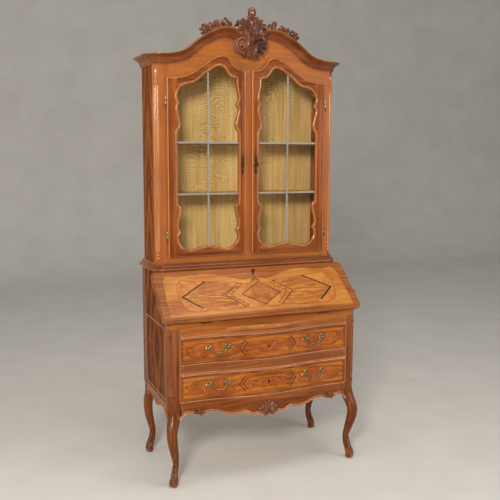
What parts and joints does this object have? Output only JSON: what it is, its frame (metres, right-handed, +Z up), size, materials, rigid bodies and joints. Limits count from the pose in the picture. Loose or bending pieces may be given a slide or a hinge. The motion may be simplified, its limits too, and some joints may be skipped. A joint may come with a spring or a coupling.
{
  "type": "secretary desk",
  "caption": "Bureau cabinet with a sloping fall front over bow-front drawers on cabriole legs, under glazed arched doors and a carved double-hump cornice.",
  "frame": {"origin": "centre of the footprint on the floor", "axes": "+Z up, +X to the right seen from the front, -Y towards the user"},
  "size_m": [1.026, 0.512, 2.2124],
  "materials": {
    "walnut": "french polished",
    "dark_walnut": "french polished",
    "veneer": "french polished marquetry",
    "maple": "satin figured maple",
    "brass": "aged",
    "lead": "dull lead grey",
    "glass": "clear"
  },
  "bodies": {
    "case": {"case_side_left": "walnut", "case_side_right": "walnut", "case_back": "maple", "case_bottom": "maple", "writing_board": "walnut", "case_top": "maple", "front_leg_left": "walnut", "front_leg_right": "walnut", "rear_leg_left": "walnut", "rear_leg_right": "walnut", "front_apron": "walnut", "side_apron_left": "walnut", "side_apron_right": "walnut", "drawer_rail": "walnut", "bow_frieze": "walnut", "drawer_runners": "maple", "gallery": "maple", "fixed_hinge_halves": "brass", "waist_moulding": "dark_walnut", "cabinet_side_left": "walnut", "cabinet_side_right": "walnut", "cabinet_back": "maple", "cabinet_bottom": "maple", "cabinet_top": "maple", "stile_left": "walnut", "stile_right": "walnut", "centre_mullion": "walnut", "base_rail": "walnut", "arched_frieze": "walnut", "pilasters": "walnut", "cornice": "dark_walnut", "crest_cartouche": "dark_walnut", "garlands": "dark_walnut", "shelves": "maple", "shelf_pins": "brass"},
    "door_left": {"door_left": "walnut", "glass_left": "glass", "cames_left": "lead", "door_fittings_left": "brass"},
    "door_right": {"door_right": "walnut", "glass_right": "glass", "cames_right": "lead", "door_fittings_right": "brass"},
    "door_key": {"door_key": "brass"},
    "fall_front": {"fall_front": "veneer", "fall_hinge_flaps": "brass", "fall_lock": "brass"},
    "upper_drawer": {"upper_drawer_front": "veneer", "upper_drawer_box": "maple", "upper_drawer_brasses": "brass"},
    "lower_drawer": {"lower_drawer_front": "veneer", "lower_drawer_box": "maple", "lower_drawer_brasses": "brass"},
    "upper_bail_left": {"upper_bail_left": "brass"},
    "upper_bail_right": {"upper_bail_right": "brass"},
    "lower_bail_left": {"lower_bail_left": "brass"},
    "lower_bail_right": {"lower_bail_right": "brass"},
    "inner_drawer_left": {"inner_drawer_left": "maple"},
    "inner_drawer_middle": {"inner_drawer_middle": "maple"},
    "inner_drawer_right": {"inner_drawer_right": "maple"}
  },
  "joints": [
    {"name": "door_left_hinge", "type": "hinge", "parent": "case", "child": "door_left", "pos_m": [-0.4145, 0.02203, 1.14437], "axis": [0, 0, -1], "range_deg": [0, 110]},
    {"name": "door_right_hinge", "type": "hinge", "parent": "case", "child": "door_right", "pos_m": [0.4145, 0.02203, 1.14437], "axis": [0, 0, 1], "range_deg": [0, 110]},
    {"name": "door_key_turn", "type": "hinge", "parent": "door_right", "child": "door_key", "pos_m": [0.035, 0.01773, 1.47837], "axis": [0, -1, 0], "range_deg": [0, 360]},
    {"name": "fall_front_hinge", "type": "hinge", "parent": "case", "child": "fall_front", "pos_m": [0, -0.2128, 0.7654], "axis": [1, 0, 0], "range_deg": [0, 140.8]},
    {"name": "upper_drawer_slide", "type": "slide", "parent": "case", "child": "upper_drawer", "axis": [0, -1, 0], "range_m": [0, 0.3]},
    {"name": "lower_drawer_slide", "type": "slide", "parent": "case", "child": "lower_drawer", "axis": [0, -1, 0], "range_m": [0, 0.3]},
    {"name": "upper_bail_left_swing", "type": "hinge", "parent": "upper_drawer", "child": "upper_bail_left", "pos_m": [-0.24522, -0.227, 0.647], "axis": [-0.9939, 0.1106, 0], "range_deg": [0, 95]},
    {"name": "upper_bail_right_swing", "type": "hinge", "parent": "upper_drawer", "child": "upper_bail_right", "pos_m": [0.24522, -0.227, 0.647], "axis": [-0.9939, -0.1106, 0], "range_deg": [0, 95]},
    {"name": "lower_bail_left_swing", "type": "hinge", "parent": "lower_drawer", "child": "lower_bail_left", "pos_m": [-0.24522, -0.227, 0.473], "axis": [-0.9939, 0.1106, 0], "range_deg": [0, 95]},
    {"name": "lower_bail_right_swing", "type": "hinge", "parent": "lower_drawer", "child": "lower_bail_right", "pos_m": [0.24522, -0.227, 0.473], "axis": [-0.9939, -0.1106, 0], "range_deg": [0, 95]},
    {"name": "inner_drawer_left_slide", "type": "slide", "parent": "case", "child": "inner_drawer_left", "axis": [0, -1, 0], "range_m": [0, 0.15]},
    {"name": "inner_drawer_middle_slide", "type": "slide", "parent": "case", "child": "inner_drawer_middle", "axis": [0, -1, 0], "range_m": [0, 0.15]},
    {"name": "inner_drawer_right_slide", "type": "slide", "parent": "case", "child": "inner_drawer_right", "axis": [0, -1, 0], "range_m": [0, 0.15]}
  ]
}
